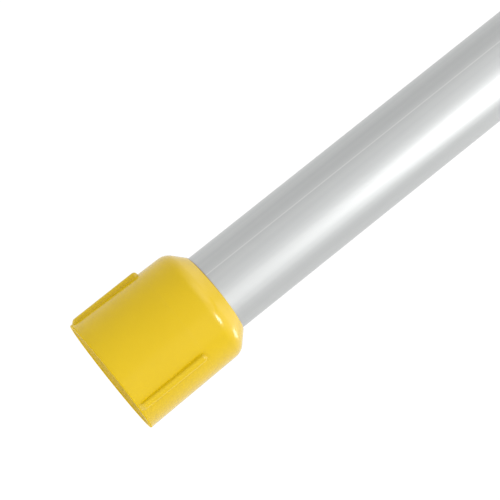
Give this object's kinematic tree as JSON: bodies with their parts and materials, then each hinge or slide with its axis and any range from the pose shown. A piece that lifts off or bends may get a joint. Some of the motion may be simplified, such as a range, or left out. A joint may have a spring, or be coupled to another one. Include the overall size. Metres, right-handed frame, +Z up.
{
  "type": "windsock with pole",
  "caption": "Tapered cloth wind cone on a free-turning head and telescopic aluminium pole, with a moulded screw collar at its foot.",
  "frame": {"origin": "centre of the screw collar's open mouth, at the foot of the pole", "axes": "+Z up the pole, +X the way the sock flies at rest, +Y across it"},
  "size_m": [1.0824, 0.2522, 1.892],
  "materials": {
    "yellow_plastic": "glossy injection moulding",
    "anodised_aluminium": "satin, drawn lengthwise",
    "black_nylon": "fine moulded texture",
    "stainless_steel": "brushed",
    "brass": "pressed",
    "hem_webbing": "woven tape",
    "orange_cloth": "coated ripstop weave",
    "white_cloth": "coated ripstop weave"
  },
  "bodies": {
    "pole": {"lower_tube": "anodised_aluminium", "foot_plug": "black_nylon", "foot_rivets": "stainless_steel", "clamp_body": "black_nylon", "clamp_screws": "stainless_steel", "clamp_bolt": "stainless_steel", "cam_seat": "black_nylon", "lever_pin": "stainless_steel"},
    "slip_ring": {"slip_washer": "black_nylon"},
    "collar": {"screw_collar": "yellow_plastic"},
    "lever": {"clamp_lever": "yellow_plastic"},
    "adjuster": {"thumb_nut": "black_nylon"},
    "mast": {"upper_tube": "anodised_aluminium", "slide_bush": "black_nylon", "bush_rivets": "stainless_steel", "head_spigot": "anodised_aluminium", "button_spring": "stainless_steel", "spindle": "stainless_steel", "bearing_inner_rings": "stainless_steel", "bearing_balls": "stainless_steel", "inner_spacer": "anodised_aluminium", "spindle_washer": "stainless_steel", "spindle_nut": "stainless_steel"},
    "button": {"head_button": "black_nylon"},
    "head": {"hub_tube": "anodised_aluminium", "rain_skirt": "black_nylon", "hub_cap": "yellow_plastic", "bearing_outer_rings": "stainless_steel", "outer_spacer": "anodised_aluminium", "upper_band": "anodised_aluminium", "lower_band": "anodised_aluminium", "upper_arm": "stainless_steel", "lower_arm": "stainless_steel", "band_screws": "stainless_steel", "mouth_hoop": "stainless_steel", "rear_hoop": "stainless_steel", "basket_stays": "stainless_steel", "split_rings": "stainless_steel", "eyelets": "brass", "sock_hem": "hem_webbing", "sock_band_1": "orange_cloth", "sock_band_2": "white_cloth", "sock_band_3": "orange_cloth", "sock_band_4": "white_cloth", "sock_band_5": "orange_cloth", "tail_hem": "hem_webbing"}
  },
  "joints": [
    {"name": "collar_lift", "type": "slide", "parent": "pole", "child": "slip_ring", "axis": [0, 0, 1], "range_m": [0, 0.25]},
    {"name": "collar_turn", "type": "hinge", "parent": "slip_ring", "child": "collar", "pos_m": [0, 0, 0.0485], "axis": [0, 0, 1], "continuous": true},
    {"name": "lever_open", "type": "hinge", "parent": "pole", "child": "lever", "pos_m": [-0.03, 0.017, 0.914], "axis": [0, 0, 1], "range_deg": [0, 115]},
    {"name": "adjuster_turn", "type": "hinge", "parent": "pole", "child": "adjuster", "pos_m": [-0.03, -0.0117, 0.914], "axis": [0, 1, 0], "range_deg": [-180, 180]},
    {"name": "mast_slide", "type": "slide", "parent": "pole", "child": "mast", "axis": [0, 0, 1], "range_m": [-0.6, 0]},
    {"name": "button_press", "type": "slide", "parent": "mast", "child": "button", "axis": [0, 1, 0], "range_m": [-0.0042, 0], "stiffness_N_per_m": 500, "springref_m": 0.002},
    {"name": "head_swivel", "type": "hinge", "parent": "mast", "child": "head", "pos_m": [0, 0, 1.604], "axis": [0, 0, 1], "continuous": true}
  ]
}
